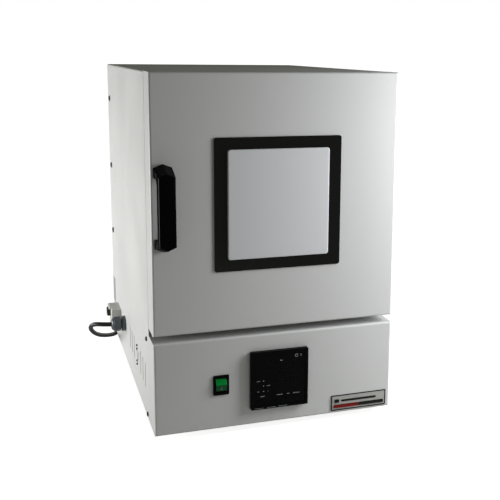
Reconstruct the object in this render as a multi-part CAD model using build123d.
from build123d import *
from math import pi, radians, tan
import os

# Bench-top chamber furnace, used as a small kiln for pottery. Millimetres.
# The model is drawn with X = 0 in the middle of the casing, Y = 0 on the door's
# front face and Z = 0 on the bench, and is moved to the footprint's centre on saving.

# ---- driving dimensions -------------------------------------------------------
case_width = 395.0
case_depth = 560.0
body_height = 560.0
foot_height = 12.0
panel_height = 149.0
door_gap = 12.0
door_depth = 46.0
seam = 2.0
sheet = 1.5
bend_radius = 3.0
fit_gap = 0.1
screw_gap = 0.2

# ---- heating chamber ----------------------------------------------------------
chamber_width = 180.0
chamber_height = 180.0
chamber_depth = 300.0
chamber_drop = 1.0
brick_thickness = 30.0
fascia_setback = 8.0
mouth_reveal = 15.0
wool_rear_thickness = 42.0
wool_gap = 2.0
hearth_thickness = 8.0
hearth_margin = 5.0
coil_radius = 4.0
coil_runs = 6
coil_pitch = 24.0
coil_bend_radius = 11.5
groove_clearance = 2.0
coil_front_margin = 24.0
coil_rear_margin = 20.0
lead_reach = 16.0
bushing_radius = 8.0
bushing_length = 12.0
probe_radius = 4.0
probe_reach = 28.0
probe_height = 50.0
probe_head_radius = 15.0
probe_head_length = 30.0
vent_radius = 10.0
vent_wall = 2.0
vent_offset = 45.0
vent_height = 55.0
vent_reach = 30.0
vent_spigot_radius = 12.5
passage_gap = 0.5

# ---- door ---------------------------------------------------------------------
plug_depth = 38.0
plug_gap = 5.0
plug_taper = 3.0
gasket_margin = 3.5
gasket_width = 9.0
gasket_gap = 0.4
frame_plate_width = 204.0
frame_plate_height = 207.0
frame_plate_thickness = 1.5
frame_plate_corner = 4.0
centre_plate_width = 163.0
centre_plate_height = 170.0
centre_plate_thickness = 3.0
centre_plate_corner = 4.0
centre_plate_edge = 1.5
catch_width = 22.0
catch_height = 50.0
catch_gap = 0.5
strike_thickness = 1.5
sensor_width = 16.0
sensor_height = 26.0
sensor_from_top = 40.0
catch_from_side = 6.0

# ---- handle -------------------------------------------------------------------
handle_x = -178.7
handle_reach = 40.0
handle_foot_width = 28.0
handle_front_width = 25.0
handle_foot_half = 66.5
handle_front_half = 56.5
handle_gable = 5.5
handle_grip_thickness = 15.0
handle_leg = 20.0
handle_inner_radius = 11.0
handle_edge_radius = 2.4
handle_screw_spacing = 113.0
handle_screw_depth = 12.0

# ---- hinges -------------------------------------------------------------------
hinge_offset = 7.5
hinge_barrel_radius = 5.0
hinge_pin_radius = 3.0
hinge_running_gap = 0.06
hinge_length = 60.0
hinge_split = 0.6
hinge_leaf_width = 32.0
hinge_leaf_thickness = 2.0
hinge_from_ends = 75.0
hinge_screw_spacing = 16.0

# ---- controller, switch, labels -----------------------------------------------
controller_x = 1.6
controller_height = 86.3
controller_size = 96.0
controller_bezel_depth = 8.0
controller_rim = 5.0
controller_case_size = 91.0
controller_case_depth = 74.0
controller_wall = 2.0
window_setback = 1.0
window_thickness = 3.0
key_width = 9.0
key_height = 5.0
key_gap = 0.4
key_pitch = 14.2
key_drop = 31.5
key_stand = 0.8
key_depth = 5.0
switch_x = -93.0
switch_height = 84.9
switch_width = 25.5
switch_tall = 32.5
switch_bezel = 2.0
switch_body_depth = 24.0
switch_wall = 1.6
rocker_half_width = 8.6
rocker_half_height = 9.8
rocker_ridge = 3.8
rocker_side_gap = 0.4
rocker_end_gap = 1.7
rocker_pivot_depth = 5.0
rocker_pin_radius = 1.5
rocker_pin_gap = 0.06
rocker_pin_grip = 0.8
rocker_angle = 9.0
nameplate_x = 141.6
nameplate_height = 30.0
nameplate_width = 98.0
nameplate_tall = 27.0
nameplate_thickness = 1.0
rating_plate_from_rear = 24.0
rating_plate_height = 102.0
rating_plate_width = 32.0
rating_plate_tall = 50.0
rating_plate_thickness = 0.6

# ---- side details -------------------------------------------------------------
vent_row_height = 79.0
slot_width = 4.5
slot_height = 42.0
slot_pitch = 28.0
slots_in_group = 3
slot_groups_middle = 189.0
slot_group_spacing = 135.0
service_plate_width = 20.0
service_plate_height = 12.0
service_plate_thickness = 1.0
service_hole_radius = 1.8
service_hole_heights = (11.0, 17.0)
screw_head_radius = 4.0
screw_head_height = 2.4
screw_radius = 2.0
small_screw_head_radius = 3.0
side_screw_y = 70.0
side_screw_heights = (20.0, 148.0)
bracket_width = 40.0
rear_screw_inset = 34.0
rear_screw_pair = 9.0
rear_screw_pairs = 3
rear_screw_from_top = 68.0
rear_screw_step = 136.0
rear_flange = 52.0
louvre_rows = 7
louvre_pitch = 14.0
louvre_length = 240.0
louvre_width = 4.0
louvre_margin = 48.0
foot_radius = 15.0
foot_taper = 2.0
foot_inset = 65.0
foot_screw_radius = 2.5
tray_flange = 18.0

# ---- mains inlet gland, spare outlet --------------------------------------------
gland_from_rear = 200.0
gland_height = 81.5
gland_flange_radius = 14.5
gland_flange_thickness = 6.5
gland_nut_across = 26.0
gland_nut_length = 15.0
gland_dome_length = 5.0
gland_dome_radius = 9.0
gland_thread_radius = 10.0
gland_thread_length = 12.0
gland_core_radius = 3.2
outlet_from_rear = 83.0
outlet_length = 52.0
outlet_reach = 18.0
outlet_height = 89.0
outlet_tall = 42.0
outlet_hood = 4.2
outlet_hood_radius = 3.8
outlet_hood_reach = 4.0
outlet_plug_reach = 7.0
outlet_plug_height = 15.5
outlet_plug_length = 14.0
outlet_edge = 2.0

# ---- electrics inside the base ---------------------------------------------------
sink_width = 80.0
sink_length = 100.0
sink_base = 6.0
sink_fins = 9
sink_fin_height = 30.0
sink_fin_thickness = 2.5
sink_x = 110.0
sink_y = 330.0
relay_width = 45.0
relay_length = 58.0
relay_height = 24.0
terminal_count = 8
terminal_pitch = 11.0
terminal_depth = 26.0
terminal_height = 22.0
terminal_x = -120.0
terminal_y = 330.0
rail_height = 7.5
rail_width = 35.0

# ---- mains lead -------------------------------------------------------------------
lead_diameter = 8.5
arc_share = 0.45
lead_bends = ((42.0, -199.5, 82.5), (58.0, -190.0, 82.0), (64.0, -168.0, 70.0),
              (58.5, -140.0, 51.0), (44.0, -107.0, 31.0), (22.0, -72.0, 16.0),
              (3.0, -38.0, 6.5), (-9.0, -10.0, 4.25), (-20.0, 18.0, 4.25),
              (-50.5, 40.0, 4.25))
coil_from_side = 97.5
coil_behind = 97.0
coil_inner_turn = 40.0
coil_outer_turn = 57.0
coil_layers = 2
coil_edge_radius = 2.0
plug_from_coil = 40.0
plug_body_length = 46.0
plug_body_radius = 19.0
plug_edge_radius = 3.0
plug_neck_length = 14.0
plug_neck_radius = 5.8
plug_pin_radius = 2.4
plug_pin_length = 19.0
plug_pin_spacing = 19.0

# ---- derived places -----------------------------------------------------------
half_width = case_width / 2
inner_half = half_width - sheet
case_bottom = foot_height
case_top = foot_height + body_height
panel_top = case_bottom + panel_height
door_bottom = panel_top + door_gap
case_front = door_depth + seam
chamber_middle = (door_bottom + case_top) / 2 - chamber_drop
deck_top = panel_top + sheet
fascia_front = case_front + fascia_setback - seam
fascia_back = fascia_front + sheet
chamber_front = fascia_back
chamber_back = chamber_front + chamber_depth
brick_back = chamber_back + brick_thickness
wool_back = brick_back + wool_rear_thickness
back_plate_rear = wool_back + sheet
brick_half_width = chamber_width / 2 + brick_thickness
chamber_floor = chamber_middle - chamber_height / 2
chamber_roof = chamber_middle + chamber_height / 2
brick_bottom = chamber_floor - brick_thickness
brick_top = chamber_roof + brick_thickness
hinge_x = half_width + hinge_offset
hinge_y = door_depth + seam / 2
hinge_reach = hinge_offset + hinge_barrel_radius
gland_y = case_depth - gland_from_rear
gland_reach = gland_flange_thickness + gland_nut_length + gland_dome_length
to_origin = Pos(
    (gland_reach - hinge_reach) / 2,
    (handle_reach - case_depth - vent_reach) / 2,
    0,
)


def block(x, y, z):
    """A box between two limits along each axis."""
    size = (x[1] - x[0], y[1] - y[0], z[1] - z[0])
    middle = ((x[0] + x[1]) / 2, (y[0] + y[1]) / 2, (z[0] + z[1]) / 2)
    return Pos(*middle) * Box(*size)


def relieve_top(plate):
    """Round a plate's two upper corners to clear the casing's folds."""
    upper = plate.bounding_box().max.Z - sheet / 2
    return fillet(edges_along(plate, Axis.Y, lambda c: c.Z > upper), bend_radius)


def rod_x(x, y, z, radius):
    """A round bar along X."""
    middle = ((x[0] + x[1]) / 2, y, z)
    return Pos(*middle) * Rot(0, 90, 0) * Cylinder(radius, x[1] - x[0])


def rod_y(x, y, z, radius):
    """A round bar along Y."""
    middle = (x, (y[0] + y[1]) / 2, z)
    return Pos(*middle) * Rot(90, 0, 0) * Cylinder(radius, y[1] - y[0])


def rod_z(x, y, z, radius):
    """A round bar along Z."""
    middle = (x, y, (z[0] + z[1]) / 2)
    return Pos(*middle) * Cylinder(radius, z[1] - z[0])


def around(middle, size):
    """The two limits of a length centred on a middle."""
    return (middle - size / 2, middle + size / 2)


def edges_along(solid, axis, keep):
    """The straight edges along an axis whose middles pass a test."""
    return [edge for edge in solid.edges().filter_by(axis) if keep(edge.center())]


def save(name, *solids):
    """Write one sub-part, moved to the footprint's centre."""
    placed = [to_origin * solid for solid in solids]
    shape = placed[0] if len(placed) == 1 else Compound(children=placed)
    export_step(shape, "parts/" + name + ".step")


def screw(side, y, z, outer, grip, head_radius=screw_head_radius):
    """A pan-head screw driven into a side wall: side is -1 for left, 1 for right."""
    head = rod_x(sorted((side * outer, side * (outer + screw_head_height))), y, z, head_radius)
    rim = head.edges().filter_by(GeomType.CIRCLE).sort_by(lambda e: side * e.center().X)[-1]
    shank = rod_x(sorted((side * (outer - grip), side * outer)), y, z, screw_radius)
    return fillet(rim, screw_head_height / 2) + shank


os.makedirs("parts", exist_ok=True)

# ---- casing wrap: one sheet folded over the left side, the top and the right side ----
gland_hole = rod_x((-half_width - sheet, -inner_half + sheet), gland_y, gland_height,
                   gland_thread_radius + fit_gap)
wrap = block((-half_width, half_width), (case_front, case_depth), (case_bottom, case_top))
wrap = fillet(edges_along(wrap, Axis.Y, lambda c: c.Z > case_top - sheet), bend_radius)
hollow = block((-inner_half, inner_half), (case_front, case_depth),
               (case_bottom - sheet, case_top - sheet))
hollow = fillet(edges_along(hollow, Axis.Y, lambda c: c.Z > case_bottom),
                bend_radius - sheet)
wrap = wrap - hollow
slot_first = slot_groups_middle - slot_group_spacing / 2
slot_places = [slot_first + group * slot_group_spacing
               + (number - (slots_in_group - 1) / 2) * slot_pitch
               for group in range(2) for number in range(slots_in_group)]
rear_screw_heights = [case_top - rear_screw_from_top - pair * rear_screw_step
                      for pair in range(rear_screw_pairs)]
for side in (-1, 1):
    outside = sorted((side * (half_width + sheet), side * (inner_half - sheet)))
    for place in slot_places:
        ends = slot_height / 2 - slot_width / 2
        wrap -= block(outside, around(place, slot_width), around(vent_row_height, 2 * ends))
        wrap -= rod_x(outside, place, vent_row_height + ends, slot_width / 2)
        wrap -= rod_x(outside, place, vent_row_height - ends, slot_width / 2)
    for height in side_screw_heights:
        wrap -= rod_x(outside, side_screw_y, height, screw_radius + screw_gap)
    for height in rear_screw_heights:
        for place in around(case_depth - rear_screw_inset, rear_screw_pair):
            wrap -= rod_x(outside, place, height, screw_radius + screw_gap)
for offset in service_hole_heights:
    for height in around(vent_row_height, 2 * offset):
        wrap -= rod_x((-half_width - sheet, -inner_half + sheet), slot_groups_middle,
                      height, service_hole_radius)
hinge_heights = (door_bottom + hinge_from_ends, case_top - hinge_from_ends - hinge_length)
hinge_screw_y = hinge_y + hinge_leaf_width / 2 + sheet
hinge_door_screw_y = hinge_y - hinge_leaf_width / 2 - sheet


def hinge_screw_heights(base, upper):
    """The two screw heights of a leaf's half: the lower half is the casing's."""
    quarter = hinge_length / 4
    middle = base + (3 * quarter if upper else quarter)
    return around(middle, hinge_screw_spacing)


for base in hinge_heights:
    for height in hinge_screw_heights(base, upper=False):
        wrap -= rod_x((inner_half - sheet, half_width + sheet), hinge_screw_y, height,
                      screw_radius + screw_gap)
wrap -= gland_hole
save("casing_wrap", wrap)

# ---- base tray with its turned-up flanges, and four rubber feet --------------------
tray_half = inner_half - fit_gap
tray = block((-tray_half, tray_half), (case_front, case_depth - sheet),
             (case_bottom, case_bottom + tray_flange))
tray -= block((-tray_half + sheet, tray_half - sheet), (case_front, case_depth - sheet),
              (case_bottom + sheet, case_bottom + tray_flange))
foot_places = [(x, y) for x in (-half_width + foot_inset, half_width - foot_inset)
               for y in (case_front + foot_inset, case_depth - foot_inset)]
for x, y in foot_places:
    tray -= rod_z(x, y, (case_bottom, case_bottom + sheet), foot_screw_radius)
for side in (-1, 1):
    tray -= rod_x(sorted((side * inner_half, side * (tray_half - sheet))), side_screw_y,
                  side_screw_heights[0], screw_head_radius)
save("base_tray", tray)
feet = []
for x, y in foot_places:
    foot = Pos(x, y, foot_height / 2) * Cone(foot_radius - foot_taper, foot_radius, foot_height)
    foot -= rod_z(x, y, (0, foot_height / 2), foot_radius / 2)
    foot -= rod_z(x, y, (0, foot_height), foot_screw_radius)
    feet.append(foot)
save("rubber_feet", *feet)

# ---- rear panel: a shallow pan with louvre slots --------------------------------------
rear_half = inner_half - fit_gap
rear_top = case_top - sheet - fit_gap
rear_bottom = case_bottom + sheet
rear_front = case_depth - rear_flange
rear_panel = relieve_top(block((-rear_half, rear_half), (rear_front, case_depth),
                               (rear_bottom, rear_top)))
rear_panel -= block((-rear_half + sheet, rear_half - sheet), (rear_front, case_depth - sheet),
                    (rear_bottom - sheet, rear_top + sheet))
rear_panel -= block((-rear_half - sheet, rear_half + sheet), (rear_front, case_depth - sheet),
                    (rear_bottom - sheet, case_bottom + tray_flange + sheet))
louvre_rise = (louvre_rows - 1) * louvre_pitch
for height in (case_bottom + louvre_margin, case_top - louvre_margin - louvre_rise):
    for row in range(louvre_rows):
        middle = height + row * louvre_pitch
        rear_panel -= block(around(0, louvre_length), (case_depth - 2 * sheet, case_depth + sheet),
                            around(middle, louvre_width))
for side in (-1, 1):
    for height in rear_screw_heights:
        for place in around(case_depth - rear_screw_inset, rear_screw_pair):
            rear_panel -= rod_x(sorted((side * inner_half, side * (inner_half - 2 * sheet))),
                                place, height, screw_radius + screw_gap)
vent_x = vent_offset
vent_z = chamber_middle + vent_height
rear_panel -= rod_y(vent_x, (case_depth - 2 * sheet, case_depth + sheet), vent_z,
                    vent_radius + passage_gap)
save("rear_panel", rear_panel)
case_screws = [screw(side, place, height, half_width, 2 * sheet + screw_gap,
                     small_screw_head_radius)
               for side in (-1, 1) for height in rear_screw_heights
               for place in around(case_depth - rear_screw_inset, rear_screw_pair)]

# ---- lower front panel: a folded pan that carries the controls ---------------------------
panel_back = case_front - sheet / 2
panel = block((-half_width, half_width), (0, panel_back), (case_bottom, panel_top))
panel = fillet(panel.faces().sort_by(Axis.Y)[0].edges(), bend_radius)
panel -= block((-inner_half, inner_half), (sheet, panel_back),
               (case_bottom + sheet, panel_top - sheet))
controller_hole = around(controller_x, controller_case_size + 2 * fit_gap)
panel -= block(controller_hole, (0, sheet),
               around(controller_height, controller_case_size + 2 * fit_gap))
switch_case_half = rocker_half_width + rocker_side_gap + switch_wall
switch_case_tall = rocker_half_height + rocker_end_gap + switch_wall
panel -= block(around(switch_x, 2 * (switch_case_half + fit_gap)), (0, sheet),
               around(switch_height, 2 * (switch_case_tall + fit_gap)))
save("lower_front_panel", panel)
bracket_front = case_front - sheet / 2 - bracket_width / 2
brackets = []
for side in (-1, 1):
    strip = block(sorted((side * (tray_half - sheet), side * (tray_half - 2 * sheet))),
                  (bracket_front, bracket_front + 2 * bracket_width),
                  (case_bottom + tray_flange + sheet, panel_top - 2 * sheet))
    strip += block(sorted((side * (tray_half - 2 * sheet), side * inner_half)),
                   (bracket_front, bracket_front + 2 * bracket_width),
                   (panel_top - 4 * sheet, panel_top - 2 * sheet))
    strip -= rod_x(sorted((side * inner_half, side * (tray_half - 3 * sheet))), side_screw_y,
                   side_screw_heights[1], screw_radius + screw_gap)
    brackets.append(strip)
save("panel_brackets", *brackets)
case_screws += [screw(side, side_screw_y, height, half_width, 3 * sheet)
                for side in (-1, 1) for height in side_screw_heights]
save("casing_screws", *case_screws)

# ---- inner deck, inner front fascia and inner back plate ---------------------------------
save("chamber_deck", block((-tray_half, tray_half), (case_front, rear_front - fit_gap),
                           (panel_top, deck_top)))
fascia_top = case_top - sheet - fit_gap
fascia_hole = chamber_width + 2 * mouth_reveal
fascia_hole_tall = chamber_height + 2 * mouth_reveal
fascia = relieve_top(block((-tray_half, tray_half), (fascia_front, fascia_back),
                           (deck_top, fascia_top)))
fascia -= block(around(0, fascia_hole), (fascia_front, fascia_back),
                around(chamber_middle, fascia_hole_tall))
save("front_fascia", fascia)
run_heights = [chamber_middle + (coil_runs - 1) * coil_pitch / 2 - run * coil_pitch
               for run in range(coil_runs)]
coil_x = chamber_width / 2 + coil_radius + groove_clearance
lead_places = [(side * coil_x, height) for side in (-1, 1)
               for height in (run_heights[0], run_heights[-1])]
probe_z = chamber_middle + probe_height


def drill_passages(slab, y):
    """Holes through a rear layer for the heater leads, the probe and the vent."""
    for lead_x, height in lead_places:
        slab -= rod_y(lead_x, y, height, coil_radius + passage_gap)
    slab -= rod_y(0, y, probe_z, probe_radius + passage_gap)
    slab -= rod_y(vent_x, y, vent_z, vent_radius + passage_gap)
    return slab


back_plate = relieve_top(block((-tray_half, tray_half), (wool_back, back_plate_rear),
                               (deck_top, fascia_top)))
save("inner_back_plate", drill_passages(back_plate, (wool_back, back_plate_rear)))

# ---- insulation: fibre slabs outside, light firebrick inside -------------------------------
wool_y = (fascia_back, brick_back)
wool_half = tray_half - wool_gap
wool_top = fascia_top - wool_gap
wool = [block((-wool_half, wool_half), wool_y, (brick_top, wool_top)),
        block((-wool_half, wool_half), wool_y, (deck_top, brick_bottom)),
        block((-wool_half, -brick_half_width), wool_y, (brick_bottom, brick_top)),
        block((brick_half_width, wool_half), wool_y, (brick_bottom, brick_top))]
rear_slab = block((-wool_half, wool_half), (brick_back, wool_back), (deck_top, wool_top))
wool.append(drill_passages(rear_slab, (brick_back, wool_back)))
save("fibre_slabs", *wool)
brick_y = (chamber_front, chamber_back)
save("brick_floor", block(around(0, 2 * brick_half_width), brick_y, (brick_bottom, chamber_floor)))
save("brick_roof", block(around(0, 2 * brick_half_width), brick_y, (chamber_roof, brick_top)))
rear_brick = block(around(0, 2 * brick_half_width), (chamber_back, brick_back),
                   (brick_bottom, brick_top))
save("brick_rear", drill_passages(rear_brick, (chamber_back, brick_back)))
coil_front = chamber_front + coil_front_margin
coil_rear = chamber_back - coil_rear_margin
groove_depth = 2 * coil_radius + 2 * groove_clearance
groove_half = coil_radius + groove_clearance
groove_top = run_heights[0] + groove_half
groove_bottom = run_heights[-1] - groove_half
side_bricks = []
for side in (-1, 1):
    inner = side * chamber_width / 2
    brick = block(sorted((inner, side * brick_half_width)), brick_y, (chamber_floor, chamber_roof))
    depth = sorted((inner, inner + side * groove_depth))
    for height in run_heights:
        brick -= block(depth, (coil_front, coil_rear), around(height, 2 * groove_half))
    for height in (run_heights[0], run_heights[-1]):
        brick -= block(depth, (coil_rear, chamber_back), around(height, 2 * groove_half))
    pocket = coil_bend_radius + groove_half
    brick -= block(depth, (coil_front - pocket, coil_front), (groove_bottom, groove_top))
    brick -= block(depth, (coil_rear, coil_rear + pocket), (groove_bottom, groove_top))
    side_bricks.append(brick)
save("side_bricks", *side_bricks)
save("hearth_plate", block(around(0, chamber_width - 2 * hearth_margin),
                           (chamber_front + hearth_margin + plug_depth, chamber_back - hearth_margin),
                           (chamber_floor, chamber_floor + hearth_thickness)))

# ---- heating elements: one serpentine on each side wall --------------------------------
lead_back = back_plate_rear + lead_reach
elements = []
for side in (-1, 1):
    points = [(side * coil_x, lead_back, run_heights[0])]
    for run in range(coil_runs - 1):
        turn_y = coil_front - coil_bend_radius if run % 2 == 0 else coil_rear + coil_bend_radius
        points.append((side * coil_x, turn_y, run_heights[run]))
        points.append((side * coil_x, turn_y, run_heights[run + 1]))
    points.append((side * coil_x, lead_back, run_heights[-1]))
    route = FilletPolyline(*points, radius=coil_bend_radius)
    elements.append(sweep(Plane(route @ 0, z_dir=route % 0) * Circle(coil_radius), path=route))
save("heating_elements", *elements)
bushings = [rod_y(x, (back_plate_rear, back_plate_rear + bushing_length), z, bushing_radius)
            - rod_y(x, (back_plate_rear, back_plate_rear + bushing_length), z,
                    coil_radius + fit_gap)
            for x, z in lead_places]
save("lead_bushings", *bushings)
probe = rod_y(0, (chamber_back - probe_reach, back_plate_rear), probe_z, probe_radius)
probe += rod_y(0, (back_plate_rear, back_plate_rear + probe_head_length), probe_z,
               probe_head_radius)
save("temperature_probe", probe)
vent_tube = rod_y(vent_x, (chamber_back, case_depth + vent_reach), vent_z, vent_radius)
vent_tube += rod_y(vent_x, (case_depth, case_depth + vent_reach), vent_z, vent_spigot_radius)
vent_tube -= rod_y(vent_x, (chamber_back, case_depth + vent_reach), vent_z,
                   vent_radius - vent_wall)
save("vent_tube", vent_tube)

# ---- door: folded skin, inner plate, filling, plug and seal ------------------------------
skin = block((-half_width, half_width), (0, door_depth), (door_bottom, case_top))
skin = fillet(skin.faces().sort_by(Axis.Y)[0].edges(), bend_radius)
skin -= block((-inner_half, inner_half), (sheet, door_depth),
              (door_bottom + sheet, case_top - sheet))
handle_screw_heights = around(chamber_middle, handle_screw_spacing)
for height in handle_screw_heights:
    skin -= rod_y(handle_x, (0, sheet), height, screw_radius + screw_gap)
for base in hinge_heights:
    for height in hinge_screw_heights(base, upper=True):
        skin -= rod_x((inner_half - sheet, half_width + sheet), hinge_door_screw_y, height,
                      screw_radius + screw_gap)
save("door_skin", skin)
inner_plate_front = door_depth - sheet
save("door_inner_plate",
     block((-inner_half + fit_gap, inner_half - fit_gap), (inner_plate_front, door_depth),
           (door_bottom + sheet + fit_gap, case_top - sheet - fit_gap)))
filling_half = inner_half - hinge_leaf_thickness - screw_head_height
filling = block((-inner_half + fit_gap, filling_half), (sheet, inner_plate_front),
                (door_bottom + sheet + fit_gap, case_top - sheet - fit_gap))
for height in handle_screw_heights:
    filling -= rod_y(handle_x, (sheet, sheet + 2 * screw_head_height), height,
                     screw_head_radius + fit_gap)
save("door_filling", filling)
plug_width = chamber_width - 2 * plug_gap
plug_height = chamber_height - 2 * plug_gap
plug = block(around(0, plug_width), (door_depth, door_depth + plug_depth),
             around(chamber_middle, plug_height))
plug = chamfer(plug.faces().sort_by(Axis.Y)[-1].edges(), plug_taper)
save("door_plug", plug)
gasket_back = fascia_front - gasket_gap
gasket_inner = fascia_hole + 2 * gasket_margin
gasket_inner_tall = fascia_hole_tall + 2 * gasket_margin
gasket_outer = gasket_inner + 2 * gasket_width
gasket_outer_tall = gasket_inner_tall + 2 * gasket_width
gasket = block(around(0, gasket_outer), (door_depth, gasket_back),
               around(chamber_middle, gasket_outer_tall))
gasket = fillet(gasket.edges().filter_by(Axis.Y), gasket_width)
gasket -= block(around(0, gasket_inner), (door_depth, gasket_back),
                around(chamber_middle, gasket_inner_tall))
save("door_gasket", gasket)


def rounded_plate(width, height, corner, y):
    """An upright plate on the door's front, with rounded corners."""
    plate = block(around(0, width), y, around(chamber_middle, height))
    return fillet(plate.edges().filter_by(Axis.Y), corner)


save("door_frame_plate", rounded_plate(frame_plate_width, frame_plate_height,
                                       frame_plate_corner, (-frame_plate_thickness, 0)))
centre_plate_front = -frame_plate_thickness - centre_plate_thickness
centre_plate = rounded_plate(centre_plate_width, centre_plate_height, centre_plate_corner,
                             (centre_plate_front, -frame_plate_thickness))
centre_plate = fillet(centre_plate.faces().sort_by(Axis.Y)[0].edges(), centre_plate_edge)
save("door_centre_plate", centre_plate)

# ---- door handle: a bridge with gabled, sloping ends ---------------------------------------


def handle_outline(width, half_height, y):
    """The handle's outline at one depth: a tall hexagon with a low gable at each end."""
    side = width / 2
    points = [(-side, -half_height + handle_gable), (0, -half_height),
              (side, -half_height + handle_gable), (side, half_height - handle_gable),
              (0, half_height), (-side, half_height - handle_gable)]
    corners = [(handle_x + x, y, chamber_middle + z) for x, z in points]
    return make_face(Polyline(*corners, close=True))


handle = loft([handle_outline(handle_foot_width, handle_foot_half, 0),
               handle_outline(handle_front_width, handle_front_half, -handle_reach)],
              ruled=True)
front_edges = handle.faces().sort_by(Axis.Y)[0].edges()
handle = fillet(front_edges, handle_edge_radius)
finger_gap = block(around(handle_x, 2 * handle_foot_width),
                   (-handle_reach + handle_grip_thickness, handle_grip_thickness),
                   around(chamber_middle, 2 * (handle_foot_half - handle_leg)))
finger_gap = fillet(edges_along(finger_gap, Axis.X, lambda c: c.Y < 0), handle_inner_radius)
handle -= finger_gap
for height in handle_screw_heights:
    handle -= rod_y(handle_x, (-handle_screw_depth, 0), height, screw_radius)
save("door_handle", handle)
handle_screws = [rod_y(handle_x, (-handle_screw_depth, sheet), height, screw_radius)
                 + rod_y(handle_x, (sheet, sheet + screw_head_height), height,
                         screw_head_radius)
                 for height in handle_screw_heights]
save("handle_screws", *handle_screws)

# ---- magnetic catch and door sensor ---------------------------------------------------
catch_x = (-inner_half + catch_from_side, -inner_half + catch_from_side + catch_width)
strike_back = door_depth + strike_thickness
save("strike_plate", block(catch_x, (door_depth, strike_back),
                           around(chamber_middle, catch_height)))
save("magnetic_catch", block(catch_x, (strike_back + catch_gap, fascia_front),
                             around(chamber_middle, catch_height)))
sensor_x = (catch_x[0], catch_x[0] + sensor_width)
sensor_z = around(case_top - sensor_from_top, sensor_height)
save("sensor_magnet", block(sensor_x, (door_depth, strike_back), sensor_z))
save("door_sensor", block(sensor_x, (strike_back + catch_gap, fascia_front), sensor_z))

# ---- hinges: casing half below, door half above, pin fixed in the casing half ----------


def hinge_half(base, on_door):
    """One leaf with its barrel and web, in the lower or upper half of a hinge."""
    low = base + (hinge_length + hinge_split) / 2 if on_door else base
    high = base + hinge_length if on_door else base + (hinge_length - hinge_split) / 2
    away = -1 if on_door else 1
    near = hinge_y + away * sheet
    far = hinge_y + away * (hinge_leaf_width + sheet)
    leaf = block((half_width, half_width + hinge_leaf_thickness), sorted((near, far)), (low, high))
    web = block((half_width + fit_gap, hinge_x), sorted((near, hinge_y + away * hinge_barrel_radius)),
                (low, high))
    barrel = rod_z(hinge_x, hinge_y, (low, high), hinge_barrel_radius)
    hole = hinge_pin_radius + (hinge_running_gap if on_door else 0)
    half = leaf + web + barrel - rod_z(hinge_x, hinge_y, (low, high), hole)
    screw_y = hinge_door_screw_y if on_door else hinge_screw_y
    for height in hinge_screw_heights(base, upper=on_door):
        half -= rod_x((half_width, half_width + hinge_leaf_thickness), screw_y, height,
                      screw_radius + screw_gap)
    return half


save("hinge_case_leaves", *[hinge_half(base, on_door=False) for base in hinge_heights])
save("hinge_door_leaves", *[hinge_half(base, on_door=True) for base in hinge_heights])
save("hinge_pins", *[rod_z(hinge_x, hinge_y, (base, base + hinge_length), hinge_pin_radius)
                     for base in hinge_heights])
leaf_face = half_width + hinge_leaf_thickness
hinge_grip = hinge_leaf_thickness + 2 * sheet
save("hinge_case_screws", *[screw(1, hinge_screw_y, height, leaf_face, hinge_grip)
                            for base in hinge_heights
                            for height in hinge_screw_heights(base, upper=False)])
save("hinge_door_screws", *[screw(1, hinge_door_screw_y, height, leaf_face, hinge_grip)
                            for base in hinge_heights
                            for height in hinge_screw_heights(base, upper=True)])

# ---- temperature controller --------------------------------------------------------
opening = controller_size - 2 * controller_rim
bezel = block(around(controller_x, controller_size), (-controller_bezel_depth, 0),
              around(controller_height, controller_size))
bezel = fillet(bezel.edges().filter_by(Axis.Y), controller_wall)
bezel = fillet(bezel.faces().sort_by(Axis.Y)[0].edges(), controller_wall / 2)
bezel -= block(around(controller_x, opening), (-controller_bezel_depth, 0),
               around(controller_height, opening))
save("controller_bezel", bezel)
case_y = (0, controller_case_depth)
controller_case = block(around(controller_x, controller_case_size), case_y,
                        around(controller_height, controller_case_size))
controller_case -= block(around(controller_x, controller_case_size - 2 * controller_wall),
                         (0, controller_case_depth - controller_wall),
                         around(controller_height, controller_case_size - 2 * controller_wall))
save("controller_case", controller_case)
window_front = -controller_bezel_depth + window_setback
window = block(around(controller_x, opening - 2 * fit_gap),
               (window_front, window_front + window_thickness),
               around(controller_height, opening - 2 * fit_gap))
key_places = [controller_x + slot * key_pitch for slot in (-2, 0, 1, 2)]
key_z = controller_height - key_drop
for key_x in key_places:
    window -= block(around(key_x, key_width + 2 * key_gap),
                    (window_front, window_front + window_thickness),
                    around(key_z, key_height + 2 * key_gap))
save("controller_window", window)
for number, key_x in enumerate(key_places, start=1):
    cap = block(around(key_x, key_width), (window_front - key_stand, window_front + key_depth),
                around(key_z, key_height))
    cap = fillet(cap.edges().filter_by(Axis.Y), key_gap)
    save("controller_key_" + str(number), cap)

# ---- rocker switch ---------------------------------------------------------------------
switch = block(around(switch_x, switch_width), (-switch_bezel, 0),
               around(switch_height, switch_tall))
switch = fillet(switch.edges().filter_by(Axis.Y), switch_bezel)
switch += block(around(switch_x, 2 * switch_case_half), (0, switch_body_depth),
                around(switch_height, 2 * switch_case_tall))
pocket_depth = rocker_pivot_depth + switch_bezel + rocker_pin_radius
switch -= block(around(switch_x, 2 * (rocker_half_width + rocker_side_gap)),
                (-switch_bezel, pocket_depth),
                around(switch_height, 2 * (rocker_half_height + rocker_end_gap)))
pin_reach = rocker_half_width + rocker_side_gap + rocker_pin_grip
switch -= rod_x(around(switch_x, 2 * (pin_reach + fit_gap)), rocker_pivot_depth, switch_height,
                rocker_pin_radius + rocker_pin_gap)
save("switch_body", switch)
face_end = -rocker_pivot_depth - switch_bezel
face_ridge = face_end - rocker_ridge
heel = -switch_bezel
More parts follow.
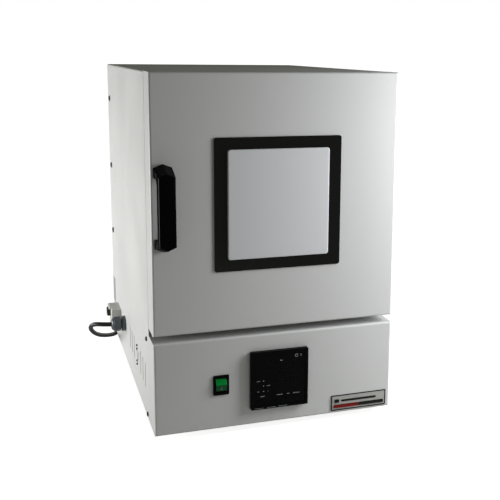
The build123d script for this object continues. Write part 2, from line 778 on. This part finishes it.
profile = [(face_end, rocker_half_height), (face_ridge, 0), (face_end, -rocker_half_height),
           (heel, -rocker_half_height), (rocker_pin_radius, -rocker_pin_radius),
           (rocker_pin_radius, rocker_pin_radius), (heel, rocker_half_height)]
rocker_face = make_face(Polyline(*[(-rocker_half_width, y, z) for y, z in profile], close=True))
rocker = extrude(rocker_face, amount=2 * rocker_half_width, dir=(1, 0, 0))
rocker += rod_x(around(0, 2 * pin_reach), 0, 0, rocker_pin_radius)
rocker = Pos(switch_x, rocker_pivot_depth, switch_height) * Rot(-rocker_angle, 0, 0) * rocker
save("switch_rocker", rocker)

# ---- nameplate, rating plate, service plate ------------------------------------------
nameplate = block(around(nameplate_x, nameplate_width), (-nameplate_thickness, 0),
                  around(nameplate_height, nameplate_tall))
save("nameplate", fillet(nameplate.edges().filter_by(Axis.Y), nameplate_thickness))
save("rating_plate", block((-half_width - rating_plate_thickness, -half_width),
                           around(case_depth - rating_plate_from_rear, rating_plate_width),
                           around(rating_plate_height, rating_plate_tall)))
save("service_plate", block((-half_width - service_plate_thickness, -half_width),
                            around(slot_groups_middle, service_plate_width),
                            around(vent_row_height, service_plate_height)))

# ---- mains gland on the left side -------------------------------------------------------
flange_face = -half_width - gland_flange_thickness
nut_face = flange_face - gland_nut_length
gland_tip = nut_face - gland_dome_length
gland_body = rod_x((flange_face, -half_width), gland_y, gland_height, gland_flange_radius)
gland_body += rod_x((-half_width, -half_width + gland_thread_length), gland_y, gland_height,
                    gland_thread_radius)
gland_body -= rod_x((flange_face, -half_width + gland_thread_length), gland_y, gland_height,
                    gland_core_radius)
save("gland_body", gland_body)
hexagon = Plane(origin=(nut_face, gland_y, gland_height), z_dir=(1, 0, 0)) * RegularPolygon(
    gland_nut_across / 2, 6, major_radius=False)
nut = extrude(hexagon, amount=gland_nut_length)
dome = Pos(nut_face - gland_dome_length / 2, gland_y, gland_height) * Rot(0, 90, 0) * Cone(
    gland_dome_radius, gland_nut_across / 2, gland_dome_length)
nut = nut + dome
nut -= rod_x((gland_tip, flange_face), gland_y, gland_height, gland_core_radius)
save("gland_nut", nut)

# ---- spare outlet box with its rubber blanking plug ---------------------------------------
outlet_face = -half_width - outlet_reach
outlet_y = (case_depth - outlet_from_rear - outlet_length, case_depth - outlet_from_rear)
outlet = block((outlet_face, -half_width), outlet_y, (outlet_height - outlet_tall, outlet_height))
outlet = fillet(edges_along(outlet, Axis.Y, lambda c: c.X < outlet_face + outlet_edge),
                outlet_edge)
hood_y = (outlet_y[0] + outlet_reach, outlet_y[1])
hood_under = outlet_height - outlet_hood
hood = block((outlet_face - outlet_hood_reach, outlet_face + outlet_edge + outlet_hood_reach),
             hood_y, (hood_under, outlet_height))
hood_middle = outlet_height - outlet_hood / 2
hood = fillet(edges_along(hood, Axis.Y, lambda c: c.X < outlet_face and c.Z > hood_middle),
              outlet_hood_radius)
save("outlet_box", outlet + hood)
blank = block((outlet_face - outlet_plug_reach, outlet_face),
              around(sum(hood_y) / 2, outlet_plug_length),
              (hood_under - outlet_plug_height, hood_under))
blank = fillet(blank.faces().sort_by(Axis.X)[0].edges(), outlet_edge)
save("outlet_blanking_plug", blank)

# ---- electrics inside the base ---------------------------------------------------------
tray_top = case_bottom + sheet
sink = block(around(sink_x, sink_width), around(sink_y, sink_length),
             (tray_top, tray_top + sink_base + sink_fin_height))
fin_step = (sink_width - sink_fin_thickness) / (sink_fins - 1)
for fin in range(sink_fins - 1):
    left = sink_x - sink_width / 2 + sink_fin_thickness + fin * fin_step
    sink -= block((left, left + fin_step - sink_fin_thickness), around(sink_y, sink_length),
                  (tray_top, tray_top + sink_fin_height))
save("heat_sink", sink)
relay_base = tray_top + sink_base + sink_fin_height
save("solid_state_relay", block(around(sink_x, relay_width), around(sink_y, relay_length),
                                (relay_base, relay_base + relay_height)))
rail = block(around(terminal_x, (terminal_count + 1) * terminal_pitch),
             around(terminal_y, rail_width), (tray_top, tray_top + rail_height))
first_terminal = terminal_x - (terminal_count - 1) * terminal_pitch / 2
terminals = [block(around(first_terminal + number * terminal_pitch, terminal_pitch - fit_gap),
                   around(terminal_y, terminal_depth),
                   (tray_top + rail_height, tray_top + rail_height + terminal_height))
             for number in range(terminal_count)]
save("terminal_strip", rail, *terminals)

# ---- mains lead: free run, stored coil and plug ------------------------------------------
lead_radius = lead_diameter / 2
lead_start = (gland_tip, gland_y, gland_height)
coil_centre = (coil_from_side - half_width, case_depth + coil_behind)
lead_end = (coil_centre[0], coil_centre[1] - coil_outer_turn, lead_radius)
bends = [(-half_width - out, case_depth + behind, height) for out, behind, height in lead_bends]
stops = [Vector(*point) for point in (lead_start, *bends, lead_end)]
runs = [after - before for before, after in zip(stops, stops[1:])]
lead_radii = []
for before, after in zip(runs, runs[1:]):
    shorter = min(before.length, after.length)
    half_turn = radians(before.get_angle(after) / 2)
    lead_radii.append(arc_share * shorter / tan(half_turn))
lead_path = FilletPolyline(*stops, radius=lead_radii)
lead = sweep(Plane(lead_path @ 0, z_dir=lead_path % 0) * Circle(lead_radius), path=lead_path)
print("lead radii", [round(radius, 1) for radius in lead_radii])
print("lead runs", [round(run.length, 1) for run in runs])
print("lead length", round(lead_path.length), "volume", round(lead.volume),
      "section x length", round(pi * lead_radius ** 2 * lead_path.length))
save("mains_lead", lead)
coil_height = coil_layers * lead_diameter
coil = rod_z(*coil_centre, (0, coil_height), coil_outer_turn + lead_radius)
coil -= rod_z(*coil_centre, (0, coil_height), coil_inner_turn - lead_radius)
coil = fillet(coil.edges().filter_by(GeomType.CIRCLE), coil_edge_radius)
plug_axis = (coil_centre[1] - coil_outer_turn, plug_body_radius)
plug_start_x = coil_centre[0] + plug_from_coil
tail = Line((coil_centre[0], plug_axis[0], coil_height - lead_radius),
            (plug_start_x, *plug_axis))
coil += sweep(Plane(tail @ 0, z_dir=tail % 0) * Circle(lead_radius), path=tail)
save("lead_coil", coil)
neck_end = plug_start_x + plug_neck_length
body_end = neck_end + plug_body_length
neck = Pos((plug_start_x + neck_end) / 2, *plug_axis) * Rot(0, 90, 0) * Cone(
    plug_neck_radius, plug_body_radius - plug_edge_radius, plug_neck_length)
plug_body = rod_x((neck_end, body_end), *plug_axis, plug_body_radius)
plug_body = fillet(plug_body.edges().filter_by(GeomType.CIRCLE), plug_edge_radius)
mains_plug = neck + plug_body
for y in around(plug_axis[0], plug_pin_spacing):
    pin = rod_x((body_end, body_end + plug_pin_length), y, plug_axis[1], plug_pin_radius)
    mains_plug += fillet(pin.edges().filter_by(GeomType.CIRCLE).sort_by(Axis.X)[-1],
                         plug_pin_radius / 2)
save("mains_plug", mains_plug)
